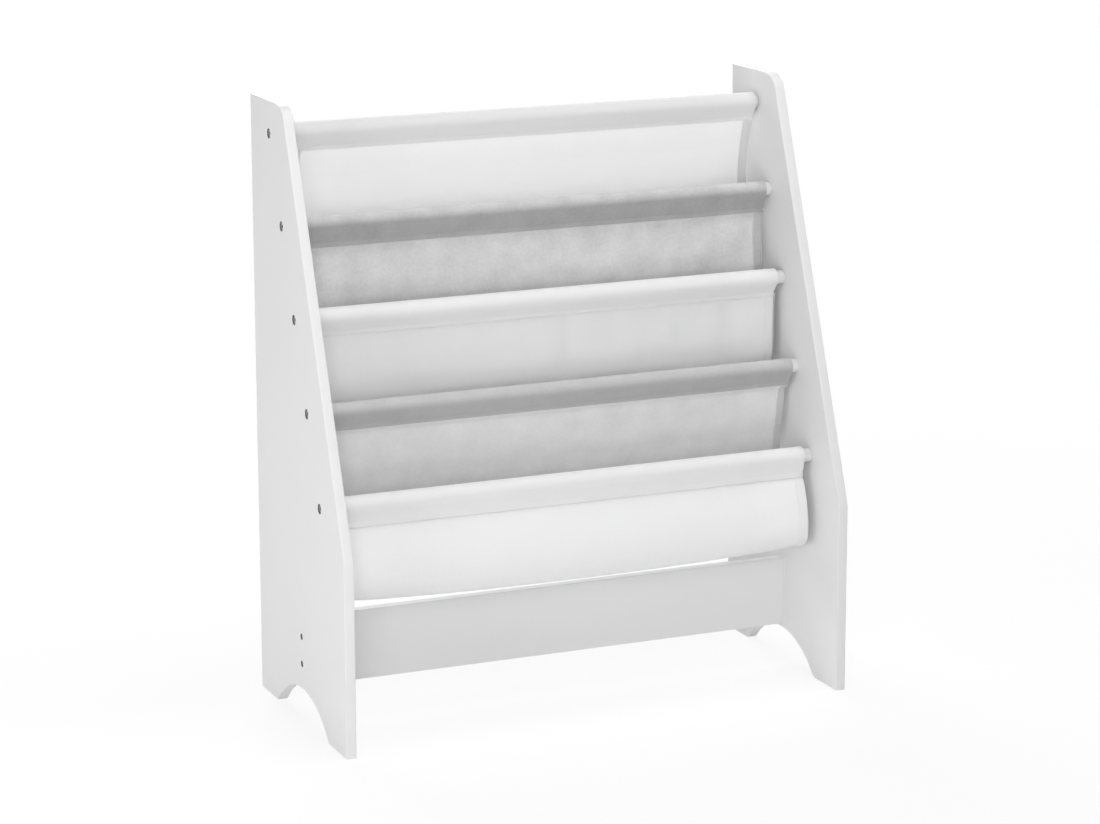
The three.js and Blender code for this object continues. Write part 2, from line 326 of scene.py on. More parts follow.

# %% [markdown]
# ## Canvas
# Both cloths are a plain weave: each warp thread goes over one weft thread and under the next. Seen
# across the sheet that is a product of two sine waves, one along the width and one along the length,
# so the weave is about a dozen Math nodes and not a picture. It reads the sheet's own flat coordinates,
# in metres, and so it bends with the cloth. Light passes through a single layer and not through two, so
# hems and sleeves let less light through, and their base colour is also painted darker: painted shade
# for the light that two layers hold back. An attribute marks them, and it also carries painted shade
# down the sleeves.

# %% Weave and canvas
thread_pitch = 0.0007
noise_middle = 0.5
slub_share = 0.5
slub_height = 2.5


def weave_height(start, u, v):
    """0 to 1: how far the upper of the two threads stands out at a point of the sheet."""
    across = start.maths("SINE", u * (math.pi / thread_pitch))
    along = start.maths("SINE", v * (math.pi / thread_pitch))
    over = 0.5 * across * along
    warp = 0.5 * start.maths("ABSOLUTE", across) + over
    weft = 0.5 * start.maths("ABSOLUTE", along) - over
    return start.maths("MAXIMUM", warp, weft)


def canvas_surface(single, double_layer_shade, mottle, glow):
    """Canvas by its tone in one layer and its painted-shade tone where doubled, how uneven it is, and what
    it lets through.
    """
    def surface(start):
        flat = start.node("ShaderNodeUVMap", {"uv_map": "flat"}, {})
        u, v = [start.node("ShaderNodeSeparateXYZ", {}, {"Vector": flat}, axis) for axis in ("X", "Y")]
        weave = weave_height(start, u, v)
        cloud = start.node("ShaderNodeTexNoise", {}, {"Vector": flat, "Scale": 34, "Detail": 5})
        slub = start.node("ShaderNodeTexNoise", {}, {"Vector": flat, "Scale": 260, "Detail": 2})
        # The mask of double layers and of painted shade: it cuts the light through and darkens the base
        # colour.
        layers = start.node("ShaderNodeAttribute", {"attribute_name": "double_layer_shade"}, {}, "Fac")
        tone = tint(layers, grey(single), grey(double_layer_shade))
        uneven = mottle * (cloud - noise_middle) + slub_share * mottle * (slub - noise_middle)
        shade = start.node("ShaderNodeHueSaturation", {}, {"Color": tone, "Value": 1 + uneven})
        height = weave + slub_height * slub
        bump = start.node("ShaderNodeBump", {}, {"Height": height, "Strength": 0.35, "Distance": 0.0002})
        lit = start.node("ShaderNodeBsdfPrincipled", {}, {
            "Base Color": shade,
            "Roughness": 0.9,
            "Specular IOR Level": 0.2,
            "Sheen Weight": 0.15,
            "Normal": bump,
        })
        through = start.node("ShaderNodeBsdfTranslucent", {}, {"Color": shade, "Normal": bump})
        return start.node("ShaderNodeMixShader", {}, {0: glow - glow * layers, 1: lit, 2: through})
    return surface


print("a thread of the weave is", thread_pitch, "metres wide")

# %% [markdown]
# The cloth is cut from four canvases. The photograph shows the top sling letting more light through
# than the other white ones, so it has a canvas of its own. The lower grey sling is given a lighter copy
# of the grey canvas, which is painted light, standing in for light that does not reach the back of the
# lowest pocket. The seams are sewn with a thread that matches the cloth, and its twist makes it a little
# uneven.

# %% Four canvases and two threads
# The tone in one layer, the tone in two with painted shade, the mottle, and the share of light that goes
# through.
canvas_looks = {
    "white_canvas": (0.95, 0.78, 0.03, 0.29),
    "thin_white_canvas": (0.905, 0.78, 0.03, 0.40),
    "grey_canvas": (0.77, 0.385, 0.39, 0.12),
    # A lighter copy of the grey canvas: painted light for the back of the lowest pocket.
    "grey_canvas_painted_light": (0.86, 0.43, 0.20, 0.12),
}
thread_tones = {"white": 0.86, "grey": 0.43}
thread_drift = 0.06


def thread_surface(tone):
    def surface(start):
        spot = start.node("ShaderNodeTexCoord", {}, {}, "Object")
        twist = start.node("ShaderNodeTexNoise", {}, {"Vector": spot, "Scale": 1500, "Detail": 2})
        return start.node("ShaderNodeBsdfPrincipled", {}, {
            "Base Color": tint(twist, grey((1 - thread_drift) * tone), grey((1 + thread_drift) * tone)),
            "Roughness": 0.7,
            "Specular IOR Level": 0.3,
        })
    return surface


canvases = {name: material(name, canvas_surface(*look)) for name, look in canvas_looks.items()}
threads = {colour: material(colour + "_thread", thread_surface(tone))
           for colour, tone in thread_tones.items()}

# %% [markdown]
# ## The side panels
# A panel is cut from 12 mm board: a flat top, a sloping front, a knee, and an arch between two soles.
# That outline and the bores for the screws are right in the loaded model, down to the eased edges, so
# drawing it again would add nothing. The model comes as loose triangles, though, which shade like cut
# paper. A copy is welded, its real corners are marked sharp, and weighted normals then let the large
# flat faces stay flat while the narrow eased edge between them shades as a rounded one. The faces
# that lie close round a screw, between the two flat sides, are the walls of its bore, and they are
# marked to take the bare board's tone with painted shade.

# %% Dress the side panels
weld_distance = 0.00001
sharp_angle = math.radians(50)
bore_air = 0.001
screw_nodes = sorted(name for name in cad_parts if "screw" in name)


def shade_smooth(bm, angle):
    """Shades a mesh smooth, apart from the edges that turn by more than an angle."""
    for face in bm.faces:
        face.smooth = True
    for edge in bm.edges:
        edge.smooth = edge.is_manifold and edge.calc_face_angle() < angle


def keep_flat(made):
    """Lets the large flat faces of an object shade flat beside their rounded edges."""
    made.modifiers.new("flat faces stay flat", "WEIGHTED_NORMAL").keep_sharp = True


def stand_in(made, node):
    """Lets a new piece take the place of a loaded one."""
    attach(made, "root")
    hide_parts(node)


def mark_bores(bm, node):
    """Marks the faces that lie between a panel's two flat sides and close to a screw's axis, for bare board
    and painted shade.
    """
    # The walls of the bores get bare board with painted shade.
    bare_and_shaded = bm.loops.layers.float.new("bare_and_shaded")
    flat_sides = sorted(abs(corner.x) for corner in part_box(node))
    screws = [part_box(name) for name in screw_nodes]
    for face in bm.faces:
        centre = face.calc_center_median()
        inside = flat_sides[0] + weld_distance < abs(centre.x) < flat_sides[1] - weld_distance
        for low, high in screws:
            middle = (low + high) / 2
            reach = math.hypot(centre.y - middle.y, centre.z - middle.z)
            if inside and reach < (high.z - low.z) / 2 + bore_air:
                for loop in face.loops:
                    loop[bare_and_shaded] = 1.0


for node in ("left_side_panel", "right_side_panel"):
    bm = bmesh.new()
    bm.from_mesh(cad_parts[node].data)
    bmesh.ops.remove_doubles(bm, verts=bm.verts, dist=weld_distance)
    shade_smooth(bm, sharp_angle)
    mark_bores(bm, node)
    panel = new_object(node + "_painted", bm, white_paint)
    keep_flat(panel)
    stand_in(panel, node)
    print(panel.name, len(panel.data.polygons), "faces")

# %% [markdown]
# ## The lower board
# The board closes the frame under the pockets. It is a plain sawn piece with its four long edges eased,
# and those edges catch the light as one bright line along the top. A cube is stretched to the board's
# place and then its long edges are bevelled, three segments to the round.

# %% Dress the lower board
edge_round = 0.0009


def ease(bm, edges, width):
    """Rounds edges over a small width."""
    bmesh.ops.bevel(bm, geom=edges, offset=width, offset_type="OFFSET", segments=3, profile=0.5,
                    affect="EDGES", material=-1)


low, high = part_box("lower_board")
bm = bmesh.new()
stretch = Matrix.LocRotScale((low + high) / 2, None, high - low)
bmesh.ops.create_cube(bm, size=1, matrix=stretch)
long_edges = [edge for edge in bm.edges if abs(edge.verts[0].co.x - edge.verts[1].co.x) > edge_round]
ease(bm, long_edges, edge_round)
for face in bm.faces:
    face.smooth = abs(face.normal.x) < math.cos(sharp_angle)
board = new_object("lower_board_painted", bm, white_paint)
keep_flat(board)
stand_in(board, "lower_board")
print(board.name, len(board.data.polygons), "faces")

# %% [markdown]
# ## The rails
# A rail is a turned stick, and only a few millimetres of it show between the end of a sleeve and the
# panel. A cylinder with enough sides to look round at that size is made by the cone operator, which
# can give both ends the same radius, and its two rims are eased like the real one's. The middles of
# the rails are kept, from the top down, because the slings are measured from them.

# %% Dress the rails
rail_sides = 64
rail_ease = 0.0008
rails = []
for node in sorted(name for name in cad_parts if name.startswith("rail_")):
    low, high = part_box(node)
    middle = (low + high) / 2
    rail_radius = (high.z - low.z) / 2
    bm = bmesh.new()
    lie_down = Matrix.Translation(middle) @ Matrix.Rotation(math.pi / 2, 4, "Y")
    bmesh.ops.create_cone(bm, cap_ends=True, segments=rail_sides, radius1=rail_radius,
                          radius2=rail_radius, depth=high.x - low.x, matrix=lie_down)
    ease(bm, [edge for edge in bm.edges if edge.calc_face_angle() > sharp_angle], rail_ease)
    for face in bm.faces:
        face.smooth = len(face.verts) == 4
    stand_in(new_object(node + "_painted", bm, white_paint), node)
    rails.append(middle)
print(len(rails), "rails of radius", round(rail_radius, 4))

# %% [markdown]
# ## The screws
# Each head is countersunk and driven a little below the paint, so the edge of its bore casts a dark
# crescent on it. It has a hexagon socket. The socket is the part that needs thought, because a
# six-sided hole in a round head has to be bridged to a circle. Both loops are given the same number of
# points, by subdividing the six sides, and the bridge between them is then made of clean quads. The
# other loops are pulled out of these two by extruding and scaling, from the head down to the tip.

# %% Shape of a screw
round_points = 48
head_bevel = 0.00025
head_rim = 0.0006
socket_sides = 6
socket_share = 0.36
socket_depth = 0.0018
socket_point_share = 0.3
socket_point_width_share = 0.02
tip_share = 0.55
screw_sharp_angle = math.radians(28)


def pull(bm, edges, drop, scale):
    """Extrudes a loop down by a drop while scaling it about the screw's axis."""
    made = bmesh.ops.extrude_edge_only(bm, edges=edges)["geom"]
    fresh = [item for item in made if isinstance(item, bmesh.types.BMEdge)]
    corners = list({corner for edge in fresh for corner in edge.verts})
    bmesh.ops.scale(bm, vec=(scale, scale, 1), verts=corners)
    bmesh.ops.translate(bm, vec=(0, 0, -drop), verts=corners)
    return fresh


def screw_mesh(head_radius, shank_radius, length):
    """A screw that points down, with the top of its head at the origin."""
    bm = bmesh.new()
    flat_radius = head_radius - head_bevel
    key_radius = head_radius * socket_share / math.cos(math.pi / socket_sides)
    bmesh.ops.create_circle(bm, segments=socket_sides, radius=key_radius)
    bmesh.ops.subdivide_edges(bm, edges=bm.edges, cuts=round_points // socket_sides - 1)
    hexagon = list(bm.edges)
    bmesh.ops.create_circle(bm, segments=round_points, radius=flat_radius)
    circle = [edge for edge in bm.edges if edge not in set(hexagon)]
    bmesh.ops.bridge_loops(bm, edges=hexagon + circle)
    wall = pull(bm, hexagon, socket_depth, 1)
    point = pull(bm, wall, socket_point_share * key_radius, socket_point_width_share)
    bmesh.ops.holes_fill(bm, edges=point, sides=round_points)
    rim = pull(bm, circle, head_bevel, head_radius / flat_radius)
    rim = pull(bm, rim, head_rim, 1)
    rim = pull(bm, rim, head_radius - shank_radius, shank_radius / head_radius)
    rim = pull(bm, rim, length - head_radius, 1)
    rim = pull(bm, rim, shank_radius * tip_share, tip_share)
    bmesh.ops.holes_fill(bm, edges=rim, sides=round_points)
    bmesh.ops.recalc_face_normals(bm, faces=bm.faces)
    shade_smooth(bm, screw_sharp_angle)
    return bm


print("a screw's loops have", round_points, "points")

# %% [markdown]
# Every screw lies along X and points into its panel, so the same shape is turned by a quarter one way
# on the left and the other way on the right. The screws of the board are thinner than the rails' ones.

# %% Dress the screws
head_sink = 0.0007
shank_radii = {"rail": 0.0025, "board": 0.00175}

for node in screw_nodes:
    low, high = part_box(node)
    side = math.copysign(1, low.x)
    head_radius = (high.z - low.z) / 2 - head_sink
    shank_radius = shank_radii["rail" if "rail" in node else "board"]
    bm = screw_mesh(head_radius, shank_radius, high.x - low.x - head_sink - shank_radius * tip_share)
    outer = high.x if side > 0 else low.x
    top = Vector((outer - side * head_sink, (low.y + high.y) / 2, (low.z + high.z) / 2))
    place = Matrix.Translation(top) @ Matrix.Rotation(side * math.pi / 2, 4, "Y")
    bmesh.ops.transform(bm, matrix=place, verts=bm.verts)
    stand_in(new_object(node + "_plated", bm, zinc), node)
print(len(screw_nodes), "screws")

# %% [markdown]
# ## How a sling runs
# Follow one strip from its free edge: it starts as a flap in front of the sheet, rises over the rail
# and down behind it, passes behind the flap, where both are stitched together, and hangs as the back
# of a pocket. An upper strip then turns round the pocket's bottom and rises again, behind the next
# strip, to the stitches under the next rail. The two lowest strips are separate sheets, and they meet
# in a lap under the last pocket.
#
# All of that is one line in the side view, so the next cells draw the line, and the cloth is later a
# flat grid that is laid along it. Depths and heights are measured from each strip's own rail, depths
# towards the back. Where several values stand together, the first is the top sling's.

# %% Sizes of the slings
# The seams under the rails: how low the stitches and the flap's edge hang, and how deep they lie.
stitch_drops = (0.018, 0.0225, 0.0175, 0.018, 0.0185)
flap_drops = (0.0225, 0.027, 0.022, 0.0225, 0.025)
seam_depth = 0.002
front_seam_depth = -0.004
# The pockets: how far they hang below the next rail, and how wide their bottoms are.
pocket_drop = 0.109
pocket_widths = (0.042, 0.036, 0.026)
# A rising layer stays one lap behind the next strip at its seam, with some air below the seam, and
# ends a gap below that strip's stitches.
layer_lap = 0.0013
layer_air = 0.002
seam_gap = 0.0003
# The hanging layers behind a pocket: their greatest depth, and their depth at some heights.
back_depths = (0.016, 0.0065, 0.003, 0.023)
hang_height_shares = (0.3, 0.45, 0.6, 0.9)
hang_depth_shares = ((0.3, 0.65, 0.9, 1), (1, 1, 0.93, 0.6), (0.65, 0.8, 0.9, 1), (0.5, 0.6, 0.7, 0.95))
# The lowest pocket: (depth, drop) down its front sheet and down the rest of its back sheet.
front_bulge = 0.021
bottom_lap = 0.010
front_sheet_shares = ((0.31, 0.25), (0.74, 0.45), (0.93, 0.61), (1, 0.77), (0.88, 0.89), (0.48, 0.97),
                      (-0.19, 1), (-0.95, 1))
back_sheet_shares = ((1.04, 0.6), (0.96, 0.75), (0.57, 0.885), (-0.2, 0.978))

rail_pitch = rails[0].z - rails[1].z
rail_run = rails[0].y - rails[1].y
next_rail = Vector((-rail_run, -rail_pitch))
pocket_fall = rail_pitch + pocket_drop
last = len(rails) - 1
print("rails", round(rail_pitch, 4), "apart in height and", round(rail_run, 4), "in depth")

# %% [markdown]
# A smooth line through a few chosen points is a spline. Blender's curve objects could draw it, but the
# cloth needs its points and directions as numbers, so a short function does the sum: each stretch
# leaves a point in the direction of its neighbours, and close points pull less than far ones.

# %% Smooth lines
def smooth_line(corners, pieces):
    """Points of a smooth curve through the corners, with so many pieces to each stretch."""
    ends = [2 * corners[0] - corners[1], *corners, 2 * corners[-1] - corners[-2]]
    points = []
    for before, start, end, after in zip(ends, ends[1:], ends[2:], ends[3:]):
        gaps = [math.sqrt((b - a).length) for a, b in ((before, start), (start, end), (end, after))]
        first, middle, final = gaps
        leave = (start - before) / first - (end - before) / (first + middle) + (end - start) / middle
        arrive = (end - start) / middle - (after - start) / (middle + final) + (after - end) / final
        for i in range(pieces):
            t = i / pieces
            pull_start = (2 * t**3 - 3 * t**2 + 1) * start + (t**3 - 2 * t**2 + t) * middle * leave
            pull_end = (3 * t**2 - 2 * t**3) * end + (t**3 - t**2) * middle * arrive
            points.append(pull_start + pull_end)
    return points + [corners[-1]]


def beside(points, offset):
    """A line moved sideways: a positive offset lies behind a sheet that hangs."""
    moved = []
    for i, point in enumerate(points):
        along = (points[min(i + 1, len(points) - 1)] - points[max(i - 1, 0)]).normalized()
        moved.append(point + offset * Vector((-along.y, along.x)))
    return moved


bend = smooth_line([Vector((0, 0)), Vector((1, 1)), Vector((2, 0))], 4)
print("three points make a smooth line of", len(bend))

# %% [markdown]
# Every strip's line starts at its seam. The layer behind a pocket hangs from there, and the pocket's
# bottom is a half circle. The layer that rises in front of it follows the next strip's own back layer
# at a small distance, so it is that line moved sideways. The lowest pocket has no such layer: a front
# sheet bulges out below its own rail, and the back sheet comes forward under it.

# %% Lines of the five strips
turn_steps = 6
coarse_pieces = 8


def seam_corners(number, depth):
    """The points where a strip's layers lie together: its stitches and the lower edge of its flap."""
    return [Vector((depth, -drop)) for drop in (stitch_drops[number], flap_drops[number])]


def back_corners(number):
    """The layer behind a pocket, from its stitches to just above the next rail."""
    hang = [Vector((back_depths[number] * hang_depth_shares[number][i], -share * rail_pitch))
            for i, share in enumerate(hang_height_shares)]
    return seam_corners(number, seam_depth) + hang


def pocket_corners(number):
    down = back_corners(number)
    ahead = smooth_line(back_corners(number + 1), coarse_pieces)
    close = beside(ahead, layer_lap)[::coarse_pieces]
    apart = beside(ahead, layer_lap + layer_air)[::coarse_pieces]
    up = [point + next_rail for point in close[:2] + apart[2:]]
    up[0].y -= seam_gap
    radius = pocket_widths[number] / 2
    front = up[-1].x
    turn_round = [Vector((front + radius + radius * math.cos(angle),
                          radius + radius * math.sin(angle) - pocket_fall))
                  for angle in (-math.pi * i / turn_steps for i in range(turn_steps + 1))]
    halfway = Vector((front + 2 * radius, (down[-1].y + turn_round[0].y) / 2))
    rising = [point for point in reversed(up) if point.y > turn_round[-1].y + radius / 2]
    return [*down, halfway, *turn_round, *rising]


def front_sheet_corners():
    sheet = [Vector((-front_bulge * bulge, -drop * pocket_drop)) for bulge, drop in front_sheet_shares]
    return seam_corners(last, front_seam_depth) + sheet


def back_sheet_corners(number):
    under = [Vector((back_depths[number] * share, -drop * pocket_fall)) for share, drop in back_sheet_shares]
    hem = front_sheet_corners()[-1] + next_rail + Vector((0, layer_lap))
    return [*back_corners(number), *under, hem, hem - Vector((bottom_lap, 0))]


def hanging_corners(number):
    if number == last:
        return front_sheet_corners()
    if number == last - 1:
        return back_sheet_corners(number)
    return pocket_corners(number)


print("points that shape each strip:", [len(hanging_corners(number)) for number in range(len(rails))])

# %% [markdown]
# Cloth is measured along its line, so the line gets points at equal steps, and a list beside it says how
# far along each of them lies. Round its rail a strip is an arc between two tangents, one from the top of
# the flap in front and one to the top of the hanging sheet behind.

# %% Lengths along a line
line_step = 0.0005
arc_steps = 40


def length_of(points):
    return sum((b - a).length for a, b in zip(points, points[1:]))


def stretch_at(reach, along):
    """Which stretch of a line holds a place so far along it."""
    return min(max(bisect.bisect_right(reach, along), 1), len(reach) - 1)


def evenly(points, step):
    """The same line with points at equal steps, and how far along it each one lies."""
    reach = [0.0]
    for a, b in zip(points, points[1:]):
        reach.append(reach[-1] + (b - a).length)
    count = round(reach[-1] / step)
    line = []
    for n in range(count + 1):
        at = reach[-1] * n / count
        i = stretch_at(reach, at)
        line.append(points[i - 1].lerp(points[i], (at - reach[i - 1]) / (reach[i] - reach[i - 1])))
    return line, [reach[-1] * n / count for n in range(count + 1)]


def round_rail(radius, front, back):
    """The arc of a sleeve round its rail, between the tangents from a point in front and one behind."""
    start = math.atan2(front.y, front.x) % math.tau - math.acos(radius / front.length)
    end = math.atan2(back.y, back.x) % math.tau + math.acos(radius / back.length) - math.tau
    return [radius * Vector((math.cos(angle), math.sin(angle)))
            for angle in (start + (end - start) * i / arc_steps for i in range(arc_steps + 1))]


print("once round a rail is", round(math.tau * rail_radius, 4), "metres of cloth")

# %% [markdown]
# ## The middle gives way
# The hems hold the ends of a sling, and between them its own weight draws the cloth out of line. The
# bottom of the lowest pocket sags in the middle, and the sheets above bow back a little between one
# rail and the next. Both are smooth curves over the width, so two layers that lie on each other, which
# are moved by the same sum, stay apart.

# %% Drape
sag = 0.005
bow = 0.0015


def drape(point, width):
    """Moves a point of a sling by what the cloth gives way there."""
    across = 1 - (2 * point.x / width) ** 2
    seam_drop = max(flap_drops)
    for rail in rails:
        lowest = rail is rails[-1]
        reach = pocket_drop - seam_drop if lowest else rail_pitch - seam_drop - 2 * rail_radius
        share = max(0.0, (rail.z - seam_drop - point.z) / reach)
        if lowest:
            point.z -= sag * across * share**2
        elif share < 1:
            point.y += bow * across * math.sin(math.pi * share) ** 2
    return point


print("the lowest pocket sags by", sag, "and the other sheets bow by", bow, "metres")

# %% [markdown]
# ## Layers of cloth
# The canvas is 0.4 mm thick, and where a hem runs under a flap, four layers of one strip lie on each
# other. Each layer gets its own level, one cloth and a sliver of air further out than the last, so no
# two layers ever share a place. A flap's free edge is turned in, as a sewer does it, and at the ends of
# a strip, where the hem takes that place, the corner is cut away before the hem is folded.
#
# White sleeves sit more loosely on their rails than grey ones, and a sling can slide along its rail:
# the photograph shows each one pushed a few millimetres to one side.

# %% One strip of canvas
cloth = 0.0004
nip = 0.00003
layer = cloth + nip
# The flap lies so many layers in front of its sheet, and the sheet a little behind the line drawn for it.
flap_layers = 3
sheet_set = 0.00022
turned_in = 0.0042
fold_steps = 4
fine_pieces = 12
# A sleeve leaves room for its hem, which lies between it and the rail.
rail_air = 0.00005
snug_radius = rail_radius + rail_air + layer + cloth / 2
sleeve_ease = {"white": 0.0019, "grey": 0.0004}
slides = (0.0055, -0.0022, -0.0012, -0.003, -0.0012)
colours = ["white" if number % 2 == 0 else "grey" for number in range(len(rails))]


class Strip:
    """One sling: where every point of its flat cloth lies in space."""

    def __init__(self, number):
        self.number = number
        self.colour = colours[number]
        self.node = f"sling_{number + 1}_{self.colour}"
        self.rail = rails[number]
        low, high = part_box(self.node)
        self.width = high.x - low.x
        self.slide = slides[number]
        self.radius = snug_radius + sleeve_ease[self.colour]
        corners = hanging_corners(number)
        hang = beside(smooth_line(corners, fine_pieces), sheet_set)
        flap = corners[0].x + sheet_set - flap_layers * layer
        edge = layer / 2 - flap_drops[number]
        flap_top = Vector((flap, -stitch_drops[number]))
        fold_centre = Vector((flap + layer / 2, edge))
        inside = [Vector((flap + layer, turned_in - flap_drops[number])), Vector((flap + layer, edge))]
        fold = [fold_centre + layer / 2 * Vector((math.cos(angle), math.sin(angle)))
                for angle in (-math.pi * i / fold_steps for i in range(1, fold_steps))]
        over = round_rail(self.radius, flap_top, hang[0])
        path = [*inside, *fold, Vector((flap, edge)), flap_top, *over, *hang]
        self.line, self.reach = evenly(path, line_step)
        # Distances along the strip: the fold of the flap, the stitches in it, the hanging sheet, the end.
        self.fold_end = length_of(path[:len(inside) + len(fold) + 1])
        self.stitch = length_of(path[:len(inside) + len(fold) + 2])
        self.hang_start = self.stitch + length_of([flap_top, *over, hang[0]])
        self.length = self.reach[-1]

    def point(self, along, level=0.0):
        """The side-view place of a point so far along the strip, lifted by a level to its inner side."""
        i = stretch_at(self.reach, along)
        share = (along - self.reach[i - 1]) / (self.reach[i] - self.reach[i - 1])
        return self.line[i - 1].lerp(self.line[i], share) + level * self.inward(along)

    def inward(self, along):
        """Square to the line, towards the rail in the sleeve and the front on a sheet that hangs."""
        i = stretch_at(self.reach, along)
        span = self.line[min(i + 1, len(self.line) - 1)] - self.line[max(i - 2, 0)]
        return Vector((span.y, -span.x)).normalized()

    def place(self, x, along, level=0.0):
        """Where a point of the flat cloth lies in space, before it settles."""
        flat = self.point(along, level)
        draped = drape(Vector((x, self.rail.y + flat.x, self.rail.z + flat.y)), self.width)
        return draped + Vector((self.slide, 0, 0))


strips = [Strip(number) for number in range(len(rails))]
for strip in strips:
    print("sling", strip.number + 1, "is cut", round(strip.length, 3), "metres long")

# %% [markdown]
# ## Letting the cloth settle
# The line above is where the hems hold the canvas. Between them a real sheet is never quite flat: it
# gives way to its own weight and keeps soft dents from being folded in its box. That is a job for a
# cloth simulation. Each hanging sheet becomes a coarse grid that is pinned along its seams and hems,
# grows by a hair so that it has some slack, and hangs for a second under gravity.

# %% Hang each sheet as cloth
settle_column = 0.012
settle_row = 0.008
settle_frames = 24
slack = -0.0025


def settle_grid(strip):
    """Columns and rows of a coarse grid on a strip's hanging sheet, from its stitches to its bottom."""
    bottom = min(strip.line, key=lambda point: point.y)
    depth = strip.reach[strip.line.index(bottom)] if strip.number < last else strip.length
    columns = round(strip.width / settle_column)
    rows = round((depth - strip.hang_start) / settle_row)
    xs = [strip.width * (i / columns - 0.5) for i in range(columns + 1)]
    alongs = [strip.hang_start + (depth - strip.hang_start) * j / rows for j in range(rows + 1)]
    return xs, alongs


def settle(strip, xs, alongs):
    """How far each point of the grid moves while the sheet hangs as cloth."""
    bm = bmesh.new()
    bmesh.ops.create_grid(bm, x_segments=len(xs) - 1, y_segments=len(alongs) - 1, size=1)
    start = [strip.place(x, along) for along in alongs for x in xs]
    for corner, place in zip(bm.verts, start):
        corner.co = place
    sheet = new_object("settling_sheet", bm, canvases["white_canvas"])
    held = [j * len(xs) + i for j in range(len(alongs)) for i in range(len(xs))
            if i in (0, len(xs) - 1) or j in (0, len(alongs) - 1)]
    sheet.vertex_groups.new(name="held").add(held, 1.0, "REPLACE")
    hang = sheet.modifiers.new("hang", "CLOTH")
    hang.settings.vertex_group_mass = "held"
    hang.settings.quality = 6
    hang.settings.mass = 0.3
    hang.settings.tension_stiffness = 30
    hang.settings.compression_stiffness = 30
    hang.settings.shear_stiffness = 15
    hang.settings.bending_stiffness = 4
    hang.settings.shrink_min = slack
    hang.point_cache.frame_end = settle_frames
    for number in range(1, settle_frames + 1):
        scene.frame_set(number)
    shaped = sheet.evaluated_get(bpy.context.evaluated_depsgraph_get())
    moves = [corner.co - place for corner, place in zip(shaped.data.vertices, start)]
    bpy.data.objects.remove(sheet)
    scene.frame_set(1)
    return moves


print("each sheet hangs for", settle_frames, "frames")

# %% [markdown]
# Only the movement is kept, as a field over width and height, and it is eased off so that no point
# moves more than the stiff canvas in the photograph does. The layer that rises in front of a pocket
# follows the field of the next strip, on which it lies, so two layers that are sewn together settle
# together and never pass through each other.

# %% Fields of movement
most_give = 0.0025


class Field:
    """Movement over width and height, read between the points of a settled grid."""

    def __init__(self, strip):
        self.xs, alongs = settle_grid(strip)
        self.moves = settle(strip, self.xs, alongs)
        self.heights = [strip.place(0, along).z for along in alongs]

    def at(self, x, z):
        """The movement at a place on the sheet, and none above or below it."""
        if not self.heights[-1] < z < self.heights[0]:
            return Vector()
        row = next(j for j, height in enumerate(self.heights) if height <= z)
        down = (self.heights[row - 1] - z) / (self.heights[row - 1] - self.heights[row])
        share = (x - self.xs[0]) / (self.xs[-1] - self.xs[0]) * (len(self.xs) - 1)
        column = min(max(int(share), 0), len(self.xs) - 2)
        right = min(max(share - column, 0.0), 1.0)
        corners = [number * len(self.xs) + column for number in (row - 1, row)]
        upper, lower = [self.moves[corner].lerp(self.moves[corner + 1], right) for corner in corners]
        move = upper.lerp(lower, down)
        reach = max(move.length, nip)
        return move * (1 - math.exp(-reach / most_give)) * most_give / reach


fields = []
fields = [Field(strip) for strip in strips]
for strip, field in zip(strips, fields):
    print(strip.node, "gives way by up to", round(max(move.length for move in field.moves), 5))


def settled(strip, x, along, level=0.0):
    """Where a point of the flat cloth lies once the sheets have settled."""
    spot = strip.place(x, along, level)
    if not fields or strip.stitch < along < strip.hang_start:
        return spot
    rising = strip.number < last - 1 and spot.y < strip.rail.y - rail_run / 2
    field = fields[strip.number + 1 if rising else strip.number]
    return spot + field.at(x, spot.z)

# %% [markdown]
# ## Cutting the slings
# Each sling starts as the flat piece of canvas that a sewer cuts: a grid, whose columns and rows are
# closer where the cloth will bend more. At both ends the cloth turns back on itself as a hem, one layer
# to the inner side. A column close beside each hem keeps the change of tone there sharp.

# %% Columns and rows
hem_width = 0.0107
sharp_step = 10 * nip
column_step = 0.005
hang_row = 0.0035
sleeve_row = 0.0012


def steps_between(start, end, step):
    count = max(1, round((end - start) / step))
    return [start + (end - start) * i / count for i in range(count)]


def columns_of(strip):
    """Columns as (flat place, x, level), from the inner edge of one hem round to that of the other."""
    half = strip.width / 2
    fold = half - layer / 2
    inner = half - hem_width
    hem = [(x, layer) for x in [*steps_between(inner, fold, hem_width / 4), fold]]
    curl = [(fold + layer / 2 * math.sin(angle), layer / 2 * (1 + math.cos(angle)))
            for angle in (math.pi * i / fold_steps for i in range(1, fold_steps))]
    front = [(x, 0.0) for x in (fold, half - hem_width / 2, inner - nip, inner - sharp_step)]
    right = hem + curl + front
    edge = inner - 2 * sharp_step
    middle = [(x, 0.0) for x in [*steps_between(-edge, edge, column_step), edge]]
    left = [(-x, level) for x, level in right]
    outline = left + middle + right[::-1]
    flats = [0.0]
    for (x1, level1), (x2, level2) in zip(outline, outline[1:]):
        flats.append(flats[-1] + math.hypot(x2 - x1, level2 - level1))
    return [(flat - flats[-1] / 2, x, level) for flat, (x, level) in zip(flats, outline)]


def rows_of(strip):
    """Rows as distances along the strip, closer in the folds and round the rail."""
    turned = steps_between(0.0, turned_in, turned_in / 3)
    turned += steps_between(turned_in, strip.fold_end, layer / 2)
    flap = steps_between(strip.fold_end, strip.stitch, sleeve_row)
    over = steps_between(strip.stitch, strip.hang_start, sleeve_row)
    hang = steps_between(strip.hang_start, strip.length, hang_row)
    return turned + flap + over + hang + [strip.length]


print("columns and rows:", [(len(columns_of(strip)), len(rows_of(strip))) for strip in strips])

